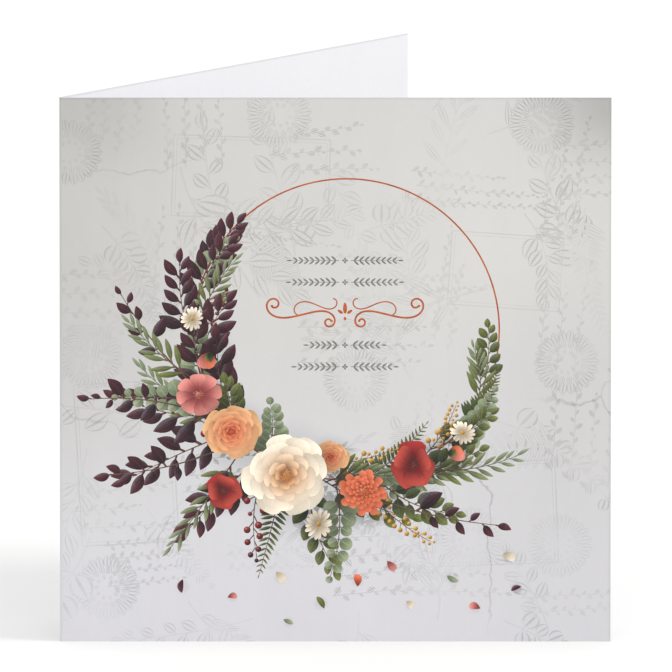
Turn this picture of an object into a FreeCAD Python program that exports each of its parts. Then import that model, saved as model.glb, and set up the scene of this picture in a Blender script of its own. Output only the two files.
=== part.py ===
import FreeCAD
import Part
import math
import os

# A square greeting card: one sheet of stiff white card board, creased once down the middle and
# folded into a front and a back panel. It stands half open on its lower edges, fold on the left.
# Millimetres and degrees. X runs along the front panel, Y from the front panel towards the back
# one, Z up. The origin is the centre of the standing card's footprint, on the surface it stands on.

# Driving dimensions
panel_width = 148.0
panel_height = 148.0
board_thickness = 0.42
opening_angle = 50.7

# The crease: a rounded outside, and on the inside the bead that the creasing rule pushes up
fold_inner_radius = 0.30
bead_radius = 0.16
bead_height = 0.12

# Sizes that follow from the ones above
fold_outer_radius = fold_inner_radius + board_thickness
flat_run = panel_width - fold_outer_radius
half_opening = math.radians(opening_angle) / 2
footprint_depth = (
    fold_outer_radius
    + flat_run * math.sin(2 * half_opening)
    + fold_outer_radius * math.cos(2 * half_opening)
)

# Directions seen from above: along each panel, away from each outer face, and into the fold
along_front = FreeCAD.Vector(1, 0, 0)
along_back = FreeCAD.Vector(math.cos(2 * half_opening), math.sin(2 * half_opening), 0)
out_of_front = FreeCAD.Vector(0, -1, 0)
out_of_back = FreeCAD.Vector(-along_back.y, along_back.x, 0)
into_opening = FreeCAD.Vector(math.cos(half_opening), math.sin(half_opening), 0)

# The axis that both the inside and the outside of the fold are rounded about
fold_axis = FreeCAD.Vector(
    fold_outer_radius - panel_width / 2,
    fold_outer_radius - footprint_depth / 2,
    0,
)


def place(along, run, outward, offset):
    """A point of the section: so far along a panel, and so far out from the fold's axis."""
    return fold_axis + along * run + outward * offset


def face_line(radius, along, outward):
    """One face of a panel in the section, from the fold to the free edge."""
    return Part.LineSegment(
        place(along, 0, outward, radius),
        place(along, flat_run, outward, radius),
    ).toShape()


def fold_arc(radius):
    """The rounded fold in the section, from the front panel's face to the back panel's."""
    return Part.Arc(
        place(along_front, 0, out_of_front, radius),
        fold_axis - into_opening * radius,
        place(along_back, 0, out_of_back, radius),
    ).toShape()


def free_edge(along, outward):
    """The cut edge of a panel in the section, square to its faces."""
    return Part.LineSegment(
        place(along, flat_run, outward, fold_inner_radius),
        place(along, flat_run, outward, fold_outer_radius),
    ).toShape()


def sheet_section():
    """The folded sheet seen from above: two panels of even thickness, joined by the fold."""
    edges = [free_edge(along_front, out_of_front), free_edge(along_back, out_of_back)]
    for radius in (fold_inner_radius, fold_outer_radius):
        edges.append(face_line(radius, along_front, out_of_front))
        edges.append(fold_arc(radius))
        edges.append(face_line(radius, along_back, out_of_back))
    return Part.Face(Part.Wire(Part.__sortEdges__(edges)))


def crease_bead():
    """The low rounded ridge along the inside of the fold, rooted in the board."""
    root = fold_inner_radius + bead_radius - bead_height
    return Part.makeCylinder(
        bead_radius,
        panel_height,
        fold_axis - into_opening * root,
        FreeCAD.Vector(0, 0, 1),
    )


def folded_card():
    sheet = sheet_section().extrude(FreeCAD.Vector(0, 0, panel_height))
    return sheet.fuse(crease_bead()).removeSplitter()


card = folded_card()
os.makedirs("parts", exist_ok=True)
card.exportStep("parts/folded_card.step")

box = card.BoundBox
print(f"folded_card: {box.XLength:.2f} x {box.YLength:.2f} x {box.ZLength:.2f} mm")
print(f"solids {len(card.Solids)}, valid {card.isValid()}, volume {card.Volume:.1f} mm3")
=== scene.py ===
# A folded greeting card with a printed front: its looks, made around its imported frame.
# The print is drawn flat, in millimetres from the lower left corner of the front panel, with the
# later shapes over the earlier ones. It is then cut into one layer of triangles, which becomes the
# card's front face, so the ink has no thickness and nothing lies on top of anything else.
import math
import random

import bpy
import numpy as np
from mathutils import Matrix, Vector
from mathutils.bvhtree import BVHTree
from mathutils.geometry import delaunay_2d_cdt


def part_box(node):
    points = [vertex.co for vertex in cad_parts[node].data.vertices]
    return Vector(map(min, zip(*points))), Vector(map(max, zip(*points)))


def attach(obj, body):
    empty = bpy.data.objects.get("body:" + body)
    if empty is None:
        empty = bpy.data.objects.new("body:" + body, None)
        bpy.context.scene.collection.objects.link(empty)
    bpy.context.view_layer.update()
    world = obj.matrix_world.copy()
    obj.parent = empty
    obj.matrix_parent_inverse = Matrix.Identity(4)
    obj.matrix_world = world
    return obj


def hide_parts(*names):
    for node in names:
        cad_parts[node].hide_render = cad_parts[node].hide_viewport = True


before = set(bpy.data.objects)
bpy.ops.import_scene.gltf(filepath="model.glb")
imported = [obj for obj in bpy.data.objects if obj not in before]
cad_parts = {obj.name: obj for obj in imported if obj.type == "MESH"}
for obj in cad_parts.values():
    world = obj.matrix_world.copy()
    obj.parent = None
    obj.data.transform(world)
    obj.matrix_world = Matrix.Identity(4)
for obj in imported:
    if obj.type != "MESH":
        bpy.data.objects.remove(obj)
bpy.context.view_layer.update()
low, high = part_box("folded_card")
print("frame loaded")

card = {
    "boardThickness": 0.00042,
    "openingAngle": math.radians(50.7),
    "foldRadiusInside": 0.0003,
    "beadRadius": 0.00016,
    "beadHeight": 0.00012,
    "foldSteps": 12,
    "beadSteps": 6,
}

millimetre = 0.001
fullTurn = 2 * math.pi
goldenTurn = math.pi * (3 - math.sqrt(5))


# Node trees

# A socket that can be added and multiplied like a number
class Wire:
    def __init__(self, socket):
        self.socket = socket
        self.tree = socket.id_data

    def __add__(self, other):
        return calculate("ADD", self, other)

    def __radd__(self, other):
        return calculate("ADD", other, self)

    def __sub__(self, other):
        return calculate("SUBTRACT", self, other)

    def __rsub__(self, other):
        return calculate("SUBTRACT", other, self)

    def __mul__(self, other):
        return calculate("MULTIPLY", self, other)

    def __rmul__(self, other):
        return calculate("MULTIPLY", other, self)

    def __truediv__(self, other):
        return calculate("DIVIDE", self, other)

    def __pow__(self, other):
        return calculate("POWER", self, other)


def plug(value, socket):
    if isinstance(value, Wire):
        socket.id_data.links.new(value.socket, socket)
    else:
        socket.default_value = value


def addNode(tree, kind, inputs=None, **settings):
    node = tree.nodes.new(kind)
    for name, value in settings.items():
        setattr(node, name, value)
    for name, value in (inputs or {}).items():
        plug(value, node.inputs[name])
    return node


def wireFrom(tree, kind, inputs=None, output=0, **settings):
    return Wire(addNode(tree, kind, inputs, **settings).outputs[output])


def calculate(operation, *values, clamp=False):
    tree = next(value.tree for value in values if isinstance(value, Wire))
    node = addNode(tree, "ShaderNodeMath", operation=operation, use_clamp=clamp)
    for value, socket in zip(values, node.inputs):
        plug(value, socket)
    return Wire(node.outputs[0])


def combine(tree, x=0.0, y=0.0, z=0.0):
    return wireFrom(tree, "ShaderNodeCombineXYZ", {"X": x, "Y": y, "Z": z})


def separate(vector):
    node = addNode(vector.tree, "ShaderNodeSeparateXYZ", {"Vector": vector})
    return [Wire(output) for output in node.outputs]


def smooth(value, start, end, low=0.0, high=1.0):
    inputs = {"Value": value, "From Min": start, "From Max": end, "To Min": low, "To Max": high}
    return wireFrom(value.tree, "ShaderNodeMapRange", inputs, interpolation_type="SMOOTHSTEP")


def geometryTree(name, inputs, takesGeometry=False):
    tree = bpy.data.node_groups.new(name, "GeometryNodeTree")
    sockets = tree.interface
    sockets.new_socket("Geometry", in_out="OUTPUT", socket_type="NodeSocketGeometry")
    if takesGeometry:
        sockets.new_socket("Geometry", in_out="INPUT", socket_type="NodeSocketGeometry")
    kinds = {int: "NodeSocketInt", float: "NodeSocketFloat", type(None): "NodeSocketMaterial"}
    for title, value in inputs.items():
        made = sockets.new_socket(title, in_out="INPUT", socket_type=kinds[type(value)])
        if value is not None:
            made.default_value = value
    given = {socket.name: Wire(socket) for socket in addNode(tree, "NodeGroupInput").outputs if socket.name}
    return tree, given


def store(geometry, name, value, kind="FLOAT_VECTOR"):
    inputs = {"Geometry": geometry, "Name": name, "Value": value}
    settings = {"data_type": kind, "domain": "POINT"}
    return wireFrom(geometry.tree, "GeometryNodeStoreNamedAttribute", inputs, **settings)


def setMaterial(geometry, material):
    return wireFrom(geometry.tree, "GeometryNodeSetMaterial", {"Geometry": geometry, "Material": material})


# Part of the way from the first value to the last
def between(first, last, share):
    return first + (last - first) * share


# An even random number from -1 to 1 for each point
def chance(tree, seed, offset):
    node = addNode(tree, "FunctionNodeRandomValue", {"Seed": seed + offset}, data_type="FLOAT")
    node.inputs[2].default_value = -1.0
    node.inputs[3].default_value = 1.0
    return Wire(node.outputs[1])


# An outline runs from its base at along = 0 round its tip at along = 1, and is as wide on each side as
# along ^ base taper x (1 - along) ^ tip taper. The inks read the same coordinates and tapers.
outlineInputs = {
    "Outline Points": 20,
    "Breadth": 0.5,
    "Base Taper": 0.5,
    "Tip Taper": 0.5,
    "Bow": 0.0,
    "Ruffle": 0.0,
    "Waves": 5.0,
}


def addOutline(tree, given, root):
    index = wireFrom(tree, "GeometryNodeInputIndex")
    turn = index / given["Outline Points"] * fullTurn
    along = 0.5 - 0.5 * calculate("COSINE", turn)
    side = calculate("SIGN", calculate("SINE", turn))
    ripple = 1.0 + given["Ruffle"] * calculate("SINE", turn * given["Waves"])
    width = along ** given["Base Taper"] * (1.0 - along) ** given["Tip Taper"]
    across = side * width * ripple + given["Bow"] * 4.0 * along * (1.0 - along)
    circle = wireFrom(
        tree, "GeometryNodeMeshCircle", {"Vertices": given["Outline Points"]}, fill_type="NGON"
    )
    place = combine(tree, between(root, 1.0, along), across * given["Breadth"])
    shaped = wireFrom(tree, "GeometryNodeSetPosition", {"Geometry": circle, "Position": place})
    return store(shaped, "local", combine(tree, across, along))


# A flat strip along a curve, with a width worked out from how far along it is
def addRibbon(tree, curve, steps, halfWidth):
    grid = wireFrom(
        tree, "GeometryNodeMeshGrid", {"Size X": 1.0, "Size Y": 2.0, "Vertices X": steps, "Vertices Y": 2}
    )
    x, side, _ = separate(wireFrom(tree, "GeometryNodeInputPosition"))
    along = x + 0.5
    sample = addNode(tree, "GeometryNodeSampleCurve", {"Curves": curve, "Factor": along}, mode="FACTOR")
    placeX, placeY, _ = separate(Wire(sample.outputs["Position"]))
    aheadX, aheadY, _ = separate(Wire(sample.outputs["Tangent"]))
    half = side * halfWidth(along)
    place = combine(tree, placeX - aheadY * half, placeY + aheadX * half)
    # The local coordinates are stored first, because they are read from the grid as it was.
    marked = store(grid, "local", combine(tree, side, along))
    return wireFrom(tree, "GeometryNodeSetPosition", {"Geometry": marked, "Position": place})


# Petals round a centre, the outermost first: a spiral or rings, by the turn from one to the next
def bloomTree():
    tree, given = geometryTree("bloom", {
        "Petals": 12,
        "Turn Step": 1.0,
        "Start Turn": 0.0,
        "Outer Reach": 1.0,
        "Inner Reach": 0.3,
        "Reach Curve": 1.0,
        "Root": 0.3,
        "Inner Breadth": 1.0,
        "Lean X": 0.0,
        "Lean Y": 0.0,
        "Jitter": 0.05,
        "Seed": 0,
        **outlineInputs,
        "Ink": None,
    })
    index = wireFrom(tree, "GeometryNodeInputIndex")
    share = index / calculate("MAXIMUM", given["Petals"] - 1.0, 1.0)
    reach = between(given["Outer Reach"], given["Inner Reach"], share ** given["Reach Curve"])
    reach = reach * (1.0 + given["Jitter"] * chance(tree, given["Seed"], 1))
    turn = given["Start Turn"] + index * given["Turn Step"]
    turn = turn + given["Jitter"] * 2.0 * chance(tree, given["Seed"], 2)
    broad = reach * between(1.0, given["Inner Breadth"], share)
    centre = combine(tree, given["Lean X"] * share, given["Lean Y"] * share)
    points = wireFrom(tree, "GeometryNodePoints", {"Count": given["Petals"], "Position": centre})
    points = store(points, "ring", share, "FLOAT")
    points = store(points, "tone", chance(tree, given["Seed"], 3), "FLOAT")
    petals = wireFrom(tree, "GeometryNodeInstanceOnPoints", {
        "Points": points,
        "Instance": addOutline(tree, given, given["Root"]),
        "Rotation": combine(tree, 0.0, 0.0, turn),
        "Scale": combine(tree, reach, broad, 1.0),
    })
    real = wireFrom(tree, "GeometryNodeRealizeInstances", {"Geometry": petals})
    addNode(tree, "NodeGroupOutput", {"Geometry": setMaterial(real, given["Ink"])})
    return tree


# Leaves on short stalks along a bent stem, on alternate sides or in pairs, with one at the tip
def sprayTree():
    tree, given = geometryTree("spray", {
        "Length": 20.0,
        "Curl": 0.3,
        "Leaves": 11,
        "First Leaf": 0.2,
        "Leaf Length": 5.0,
        "Tip Length": 3.0,
        "Leaf Angle": 0.9,
        "Tip Angle": 0.5,
        "Paired": 0.0,
        "Stalk": 0.15,
        "Stalk Width": 0.04,
        "Stem Width": 0.4,
        "Stem Steps": 14,
        "Jitter": 0.15,
        "Seed": 0,
        **outlineInputs,
        "Leaf Ink": None,
        "Stem Ink": None,
    })
    length = given["Length"]
    tip = combine(
        tree,
        length * calculate("COSINE", given["Curl"]),
        length * calculate("SINE", given["Curl"]),
    )
    stem = wireFrom(tree, "GeometryNodeCurveQuadraticBezier", {
        "Resolution": 32,
        "Start": (0.0, 0.0, 0.0),
        "Middle": combine(tree, length * 0.5),
        "End": tip,
    })
    index = wireFrom(tree, "GeometryNodeInputIndex")
    lastOne = given["Leaves"] - 1.0
    step = index - given["Paired"] * calculate("MODULO", index, 2.0)
    share = step / lastOne
    notTip = calculate("LESS_THAN", index, lastOne - 0.5)
    side = 1.0 - 2.0 * calculate("MODULO", index, 2.0)
    place = between(given["First Leaf"], 1.0, share)
    sample = addNode(tree, "GeometryNodeSampleCurve", {"Curves": stem, "Factor": place}, mode="FACTOR")
    aheadX, aheadY, _ = separate(Wire(sample.outputs["Tangent"]))
    spread = between(given["Leaf Angle"], given["Tip Angle"], share)
    turn = calculate("ARCTAN2", aheadY, aheadX) + spread * side * notTip
    turn = turn + given["Jitter"] * chance(tree, given["Seed"], 1)
    size = between(given["Leaf Length"], given["Tip Length"], share)
    size = size * (1.0 + given["Jitter"] * chance(tree, given["Seed"], 2))
    points = wireFrom(
        tree, "GeometryNodePoints", {"Count": given["Leaves"], "Position": Wire(sample.outputs["Position"])}
    )
    points = store(points, "ring", share, "FLOAT")
    points = store(points, "tone", chance(tree, given["Seed"], 3), "FLOAT")
    leaf = setMaterial(addOutline(tree, given, given["Stalk"]), given["Leaf Ink"])
    stalkEnd = combine(tree, given["Stalk"] * 1.2)
    stalkLine = wireFrom(
        tree, "GeometryNodeCurvePrimitiveLine", {"Start": (0.0, 0.0, 0.0), "End": stalkEnd}
    )
    stalk = addRibbon(tree, stalkLine, 2, lambda along: given["Stalk Width"])
    stalk = setMaterial(stalk, given["Stem Ink"])
    both = addNode(tree, "GeometryNodeJoinGeometry")
    for part in (leaf, stalk):
        plug(part, both.inputs[0])
    leaves = wireFrom(tree, "GeometryNodeInstanceOnPoints", {
        "Points": points,
        "Instance": Wire(both.outputs[0]),
        "Rotation": combine(tree, 0.0, 0.0, turn),
        "Scale": combine(tree, size, size * side, 1.0),
    })
    stemHalf = given["Stem Width"] * 0.5
    ribbon = addRibbon(tree, stem, given["Stem Steps"], lambda along: stemHalf * (1.0 - 0.65 * along))
    ribbon = setMaterial(ribbon, given["Stem Ink"])
    whole = addNode(tree, "GeometryNodeJoinGeometry")
    for part in (leaves, ribbon):
        plug(part, whole.inputs[0])
    real = wireFrom(tree, "GeometryNodeRealizeInstances", {"Geometry": Wire(whole.outputs[0])})
    addNode(tree, "NodeGroupOutput", {"Geometry": real})
    return tree


# A line of even width along a given curve
def strokeTree():
    tree, given = geometryTree("stroke", {
        "Steps": 60,
        "Width": 0.5,
        "Ink": None,
    }, takesGeometry=True)
    half = given["Width"] * 0.5
    ribbon = addRibbon(tree, given["Geometry"], given["Steps"], lambda along: half)
    real = wireFrom(tree, "GeometryNodeRealizeInstances", {"Geometry": ribbon})
    addNode(tree, "NodeGroupOutput", {"Geometry": setMaterial(real, given["Ink"])})
    return tree


trees = {"bloom": bloomTree(), "spray": sprayTree(), "stroke": strokeTree()}
print("node trees made")


# Finishes

# A colour as a printer's chart gives it, from 0 to 255, in the renderer's own values
def chart(red, green, blue):
    shares = [value / 255 for value in (red, green, blue)]
    return np.array([((s + 0.055) / 1.055) ** 2.4 if s > 0.04 else s / 12.92 for s in shares])


def mixColours(first, second, factor):
    tree = next(value.tree for value in (factor, first, second) if isinstance(value, Wire))
    node = addNode(tree, "ShaderNodeMix", data_type="RGBA")
    for value, socket in zip((factor, first, second), (node.inputs[0], node.inputs[6], node.inputs[7])):
        plug(value, socket)
    return Wire(node.outputs[2])


def brighten(colour, factor):
    inputs = {"Vector": colour, "Scale": factor}
    return wireFrom(colour.tree, "ShaderNodeVectorMath", inputs, operation="SCALE")


def noise(tree, scale, detail=2.0, roughness=0.5, vector=None):
    inputs = {"Scale": scale, "Detail": detail, "Roughness": roughness}
    if vector is not None:
        inputs["Vector"] = vector
    return wireFrom(tree, "ShaderNodeTexNoise", inputs)


def onTheObject(tree):
    return Wire(addNode(tree, "ShaderNodeTexCoord").outputs["Object"])


def fixed(colour):
    return (*colour, 1.0)


paper = {
    "white": chart(229, 229, 232),
    "toothSize": 0.00025,
    "toothDepth": 0.000004,
    "fibreSize": 0.0011,
    "fibreContrast": 0.026,
    # the tone of the painted shade along the board's upper and lower edges
    "paintedEdgeShade": 0.84,
}


# The fine tooth of the board, which the ink follows
def addTooth(tree, shader, depth):
    place = onTheObject(tree)
    tooth = noise(tree, 1 / paper["toothSize"], 3.0, 0.6, place)
    felt = noise(tree, 1 / (8 * paper["toothSize"]), 2.0, 0.5, place)
    bump = wireFrom(
        tree, "ShaderNodeBump", {"Height": tooth + felt * 2.0, "Strength": 1.0, "Distance": depth}
    )
    plug(bump, shader.inputs["Normal"])


def newFinish(name, roughness, specular, tooth):
    material = bpy.data.materials.new(name)
    material.use_nodes = True
    tree = material.node_tree
    shader = next(node for node in tree.nodes if node.type == "BSDF_PRINCIPLED")
    shader.inputs["Roughness"].default_value = roughness
    shader.inputs["Specular IOR Level"].default_value = specular
    addTooth(tree, shader, tooth)
    return material, tree, shader


# Uncoated white board: cloudy pulp, with fine fibres that lie mostly along the fold
def boardFinish():
    material, tree, shader = newFinish("cardBoard", 0.72, 0.25, paper["toothDepth"] * 1.5)
    place = onTheObject(tree)
    cloud = noise(tree, 1 / paper["fibreSize"], 4.0, 0.7, place)
    broad = noise(tree, 40.0, 2.0, 0.5, place)
    x, y, z = separate(place)
    strands = noise(tree, 1.0, 2.0, 0.6, combine(tree, x * 2600.0, y * 2600.0, z * 420.0))
    fibres = smooth(strands, 0.58, 0.7) * paper["fibreContrast"]
    level = 1.0 + (cloud - 0.5) * paper["fibreContrast"] * 2.0 + (broad - 0.5) * 0.03 - fibres
    white = wireFrom(tree, "ShaderNodeRGB")
    white.socket.default_value = fixed(paper["white"])
    # Painted shade: the board is darker within 0.7 mm of its upper and lower edges, standing in for the
    # shaded line along them
    edgeShade = smooth(calculate("MINIMUM", high.z - z, z), 0.0, 0.0007, paper["paintedEdgeShade"], 1.0)
    plug(brighten(white, level * edgeShade), shader.inputs["Base Color"])
    return material


# The cut through the board's layers: a little greyer and rougher than its faces
def cutFinish():
    material, tree, shader = newFinish("cutBoard", 0.85, 0.15, paper["toothDepth"] * 4)
    x, y, z = separate(onTheObject(tree))
    layers = noise(tree, 1.0, 3.0, 0.7, combine(tree, x * 9000.0, y * 9000.0, z * 900.0))
    pulp = mixColours(fixed(chart(204, 203, 204)), fixed(chart(228, 228, 230)), layers)
    plug(pulp, shader.inputs["Base Color"])
    return material


plaster = {
    "upper": chart(216, 215, 212),
    "lower": chart(222, 221, 226),
    "edge": chart(184, 183, 181),
    "crack": chart(172, 170, 166),
    "crackCells": 15.0,
    "crackBend": 0.02,
    "crackWidth": 0.006,
    "crackStrength": 0.6,
    "mottle": 0.06,
    "trowelMarks": 0.07,
    "grain": 0.035,
    # The pool of light: its middle in shares of the panel, then how far it reaches and its strength
    "pool": (0.76, 0.73, 0.0),
    "poolReach": 0.42,
    "poolLight": 0.055,
    # Painted shade: the ground is darker within a millimetre of the upper and free edges
    "printEdgeShadeWidth": 0.001,
    "printEdgeShadeTone": 0.9,
}


# The printed ground: pale plaster, cooler low down and darker towards its upper corners
def plasterGroup():
    tree = bpy.data.node_groups.new("plasterTone", "ShaderNodeTree")
    tree.interface.new_socket("Color", in_out="OUTPUT", socket_type="NodeSocketColor")
    place = onTheObject(tree)
    x, y, z = separate(place)
    width, height = high.x - low.x, high.z - low.z
    right = (x - low.x) / width
    up = (z - low.z) / height
    cloud = noise(tree, 22.0, 5.0, 0.6, place)
    trowel = noise(tree, 1.0, 4.0, 0.65, combine(tree, x * 130.0, y * 130.0, z * 38.0))
    grain = noise(tree, 900.0, 3.0, 0.7, place)
    warm = smooth(up + (cloud - 0.5) * 0.5, 0.0, 0.75)
    colour = mixColours(fixed(plaster["lower"]), fixed(plaster["upper"]), warm)
    sideways = calculate("ABSOLUTE", right - 0.54) + (cloud - 0.5) * 0.12
    leftSide = smooth(right, 0.35, 0.0) * smooth(up, 0.15, 0.6) * 0.4
    topCorners = smooth(sideways, 0.26, 0.5) * smooth(up, 0.8, 1.0) * 0.75
    topRight = smooth(right, 0.8, 1.0) * smooth(up, 0.85, 1.0) * 0.4
    rightSide = smooth(right, 0.62, 0.95) * smooth(up, 0.75, 0.5) * 0.16
    shading = leftSide + topCorners * smooth(right, 0.0, 0.4, 0.45, 1.0) + topRight + rightSide
    colour = mixColours(colour, fixed(plaster["edge"]), shading)
    # Hairline cracks: the borders of large warped cells, where a patchy mask lets them show
    warp = wireFrom(tree, "ShaderNodeTexNoise", {"Vector": place, "Scale": 45.0, "Detail": 6.0}, "Color")
    bend = {0: warp, 1: [plaster["crackBend"]] * 3, 2: place}
    bent = wireFrom(tree, "ShaderNodeVectorMath", bend, operation="MULTIPLY_ADD")
    spacing = {"Vector": bent, "Scale": plaster["crackCells"]}
    cells = wireFrom(tree, "ShaderNodeTexVoronoi", spacing, feature="DISTANCE_TO_EDGE")
    line = smooth(cells, 0.0, plaster["crackWidth"], 1.0, 0.0)
    patchy = smooth(noise(tree, 13.0, 1.0, 0.5, place), 0.5, 0.6)
    colour = mixColours(colour, fixed(plaster["crack"]), line * patchy * plaster["crackStrength"])
    ends = {0: combine(tree, right, up), 1: plaster["pool"]}
    fromPool = wireFrom(tree, "ShaderNodeVectorMath", ends, "Value", operation="DISTANCE")
    level = 1.0 + smooth(fromPool, plaster["poolReach"], 0.0) * plaster["poolLight"]
    level = level + (cloud - 0.5) * plaster["mottle"] + (trowel - 0.5) * plaster["trowelMarks"]
    level = level + (grain - 0.5) * plaster["grain"]
    # Painted shade along the panel's upper and free edges
    inward = calculate("MINIMUM", high.x - x, high.z - z)
    rim = smooth(inward, 0.0, plaster["printEdgeShadeWidth"], plaster["printEdgeShadeTone"], 1.0)
    addNode(tree, "NodeGroupOutput", {"Color": brighten(colour, level * rim)})
    return tree


plasterTone = plasterGroup()


def addPlaster(tree):
    node = tree.nodes.new("ShaderNodeGroup")
    node.node_tree = plasterTone
    return Wire(node.outputs[0])


def attribute(tree, name, output="Fac"):
    return Wire(addNode(tree, "ShaderNodeAttribute", attribute_name=name).outputs[output])


# What every ink reads of its shape. Across runs from -1 to 1 between the shape's own edges.
class Form:
    def __init__(self, tree):
        across, self.along, _ = separate(Wire(addNode(tree, "ShaderNodeUVMap", uv_map="motif").outputs[0]))
        baseTaper, tipTaper, bow = separate(attribute(tree, "inkForm", "Vector"))
        self.lightAcross, self.lightAlong, self.lift = separate(attribute(tree, "inkLight", "Vector"))
        rest = 1.0 - self.along
        width = calculate("MAXIMUM", self.along ** baseTaper * rest ** tipTaper, 0.0005)
        share = (across - bow * 4.0 * self.along * rest) / width
        self.across = calculate("MINIMUM", calculate("MAXIMUM", share, -1.0), 1.0)
        self.edge = calculate("ABSOLUTE", self.across)
        self.base = attribute(tree, "inkBase", "Color")
        self.tip = attribute(tree, "inkTip", "Color")
        self.tone = attribute(tree, "tone")
        self.shade = attribute(tree, "shade")


def newInk(name, roughness=0.5, specular=0.3):
    material, tree, shader = newFinish(name, roughness, specular, paper["toothDepth"])
    return material, tree, shader, Form(tree)


def groundInk():
    material, tree, shader, form = newInk("groundInk", 0.55)
    plug(brighten(addPlaster(tree), form.shade), shader.inputs["Base Color"])
    return material


# Petals: cupped across, rising from the centre and rolling over at the tip, with fine streaks
def petalInk():
    material, tree, shader, form = newInk("petalInk")
    grain = combine(tree, form.across * 1.6 + form.tone * 40.0, form.along * 0.35)
    streaks = noise(tree, 4.0, 3.0, 0.6, grain)
    colour = mixColours(form.base, form.tip, smooth(form.along + (streaks - 0.5) * 0.35, 0.15, 1.0))
    cup = form.across * form.lightAcross * -0.26
    rise = (form.along * 0.9 - form.lift) * form.lightAlong * 0.34
    hollow = smooth(form.along, 0.1, 0.85, 0.52, 1.0)
    rim = smooth(form.edge, 0.72, 0.97) * 0.06 - smooth(form.edge, 0.93, 1.0) * 0.13
    level = (1.0 + cup + rise + rim + (streaks - 0.5) * 0.22 + form.tone * 0.05) * hollow * form.shade
    plug(brighten(colour, level), shader.inputs["Base Color"])
    return material


# Leaves: two halves that meet the light differently, a pale midrib and slanting side veins
def leafInk():
    material, tree, shader, form = newInk("leafInk", 0.45)
    mottle = noise(tree, 3.0, 3.0, 0.6, combine(tree, form.across + form.tone * 30.0, form.along * 2.0))
    colour = mixColours(form.base, form.tip, smooth(form.along + (mottle - 0.5) * 0.8, 0.1, 1.1))
    half = smooth(form.across, -0.12, 0.12, -1.0, 1.0) * form.lightAcross * 0.2
    roll = (form.along - 0.45) * form.lightAlong * -0.25
    vein = calculate("SINE", (form.along * 9.0 - form.edge * 2.2) * fullTurn)
    sideVein = smooth(vein, 0.75, 1.0) * smooth(form.edge, 0.95, 0.3) * 0.1
    rib = smooth(form.edge, 0.13, 0.03) * smooth(form.along, 1.0, 0.6)
    level = (1.0 + half + roll + sideVein + (mottle - 0.5) * 0.25 + form.tone * 0.1) * form.shade
    colour = mixColours(brighten(colour, level), brighten(form.tip, form.shade * 1.25), rib * 0.55)
    waxy = smooth(form.across * form.lightAcross + (mottle - 0.5) * 0.6, 0.1, 0.85) * 0.15
    colour = mixColours(colour, fixed(chart(196, 192, 202)), waxy * form.shade)
    plug(brighten(colour, 1.0 - smooth(form.edge, 0.82, 1.0) * 0.24), shader.inputs["Base Color"])
    return material


# Stems and twigs: round, so the side towards the light is paler
def stemInk():
    material, tree, shader, form = newInk("stemInk")
    bark = noise(tree, 900.0, 2.0, 0.5, onTheObject(tree))
    level = 0.95 + form.across * form.lightAcross * 0.35 + (bark - 0.5) * 0.5
    colour = mixColours(form.base, form.tip, form.along)
    plug(brighten(colour, level * form.shade), shader.inputs["Base Color"])
    return material


# Berries and seeds: small balls with a soft light spot
def berryInk():
    material, tree, shader, form = newInk("berryInk", 0.4)
    lengthwise = form.along * 2.0 - 1.0
    sidewise = form.across * calculate("SQRT", calculate("MAXIMUM", 1.0 - lengthwise * lengthwise, 0.0))
    towards = sidewise * form.lightAcross + lengthwise * form.lightAlong
    fromMiddle = calculate("SQRT", sidewise * sidewise + lengthwise * lengthwise)
    level = (0.86 + towards * 0.4 - smooth(fromMiddle, 0.6, 1.0) * 0.25 + form.tone * 0.08) * form.shade
    spotX = sidewise - form.lightAcross * 0.4
    spotY = lengthwise - form.lightAlong * 0.4
    spot = smooth(calculate("SQRT", spotX * spotX + spotY * spotY), 0.3, 0.0)
    colour = brighten(mixColours(form.base, form.tip, smooth(towards, -0.6, 0.9)), level)
    plug(mixColours(colour, fixed(chart(255, 244, 232)), spot * 0.35), shader.inputs["Base Color"])
    return material


# Faded engraving on the ground: the outline, midrib and side veins of each leaf in a darker tone
def faintInk():
    material, tree, shader, form = newInk("faintInk", 0.55)
    outline = smooth(form.edge, 0.66, 0.86)
    rib = smooth(form.edge, 0.2, 0.08)
    hatch = smooth(calculate("SINE", (form.along * 7.0 - form.edge * 1.6) * fullTurn), 0.6, 1.0) * 0.4
    worn = smooth(noise(tree, 60.0, 4.0, 0.7, onTheObject(tree)), 0.34, 0.6, 0.25, 1.0)
    line = calculate("MAXIMUM", calculate("MAXIMUM", outline, rib), hatch)
    strength = calculate("MULTIPLY", line * worn, form.lift)
    plug(brighten(addPlaster(tree), (1.0 - strength) * form.shade), shader.inputs["Base Color"])
    return material


# Strokes of one colour, a little uneven as a pen leaves them
def penInk():
    material, tree, shader, form = newInk("penInk", 0.45)
    wet = noise(tree, 260.0, 3.0, 0.6, onTheObject(tree))
    colour = mixColours(form.base, form.tip, smooth(wet, 0.3, 0.7))
    plug(brighten(colour, form.shade), shader.inputs["Base Color"])
    return material


board, cut = boardFinish(), cutFinish()
inks = {
    "ground": groundInk(),
    "petal": petalInk(),
    "leaf": leafInk(),
    "stem": stemInk(),
    "berry": berryInk(),
    "faint": faintInk(),
    "pen": penInk(),
}
print("finishes made")


# Drawing

shapes = []   # each printed shape, the lowest first
shadows = []  # soft round shadows, each falling on the shapes drawn before it
lightFrom = Vector((-0.6, 0.8))


def peak(baseTaper, tipTaper):
    widest = baseTaper / (baseTaper + tipTaper)
    return widest ** baseTaper * (1 - widest) ** tipTaper


# The flat map from the sheet to a shape's own coordinates, from three of its corners
def localMap(places, own):
    sheet = np.array([[x, y, 1.0] for x, y in places])
    if abs(np.linalg.det(sheet)) < 1e-9:
        return None
    return np.linalg.solve(sheet, np.array(own))


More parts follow.
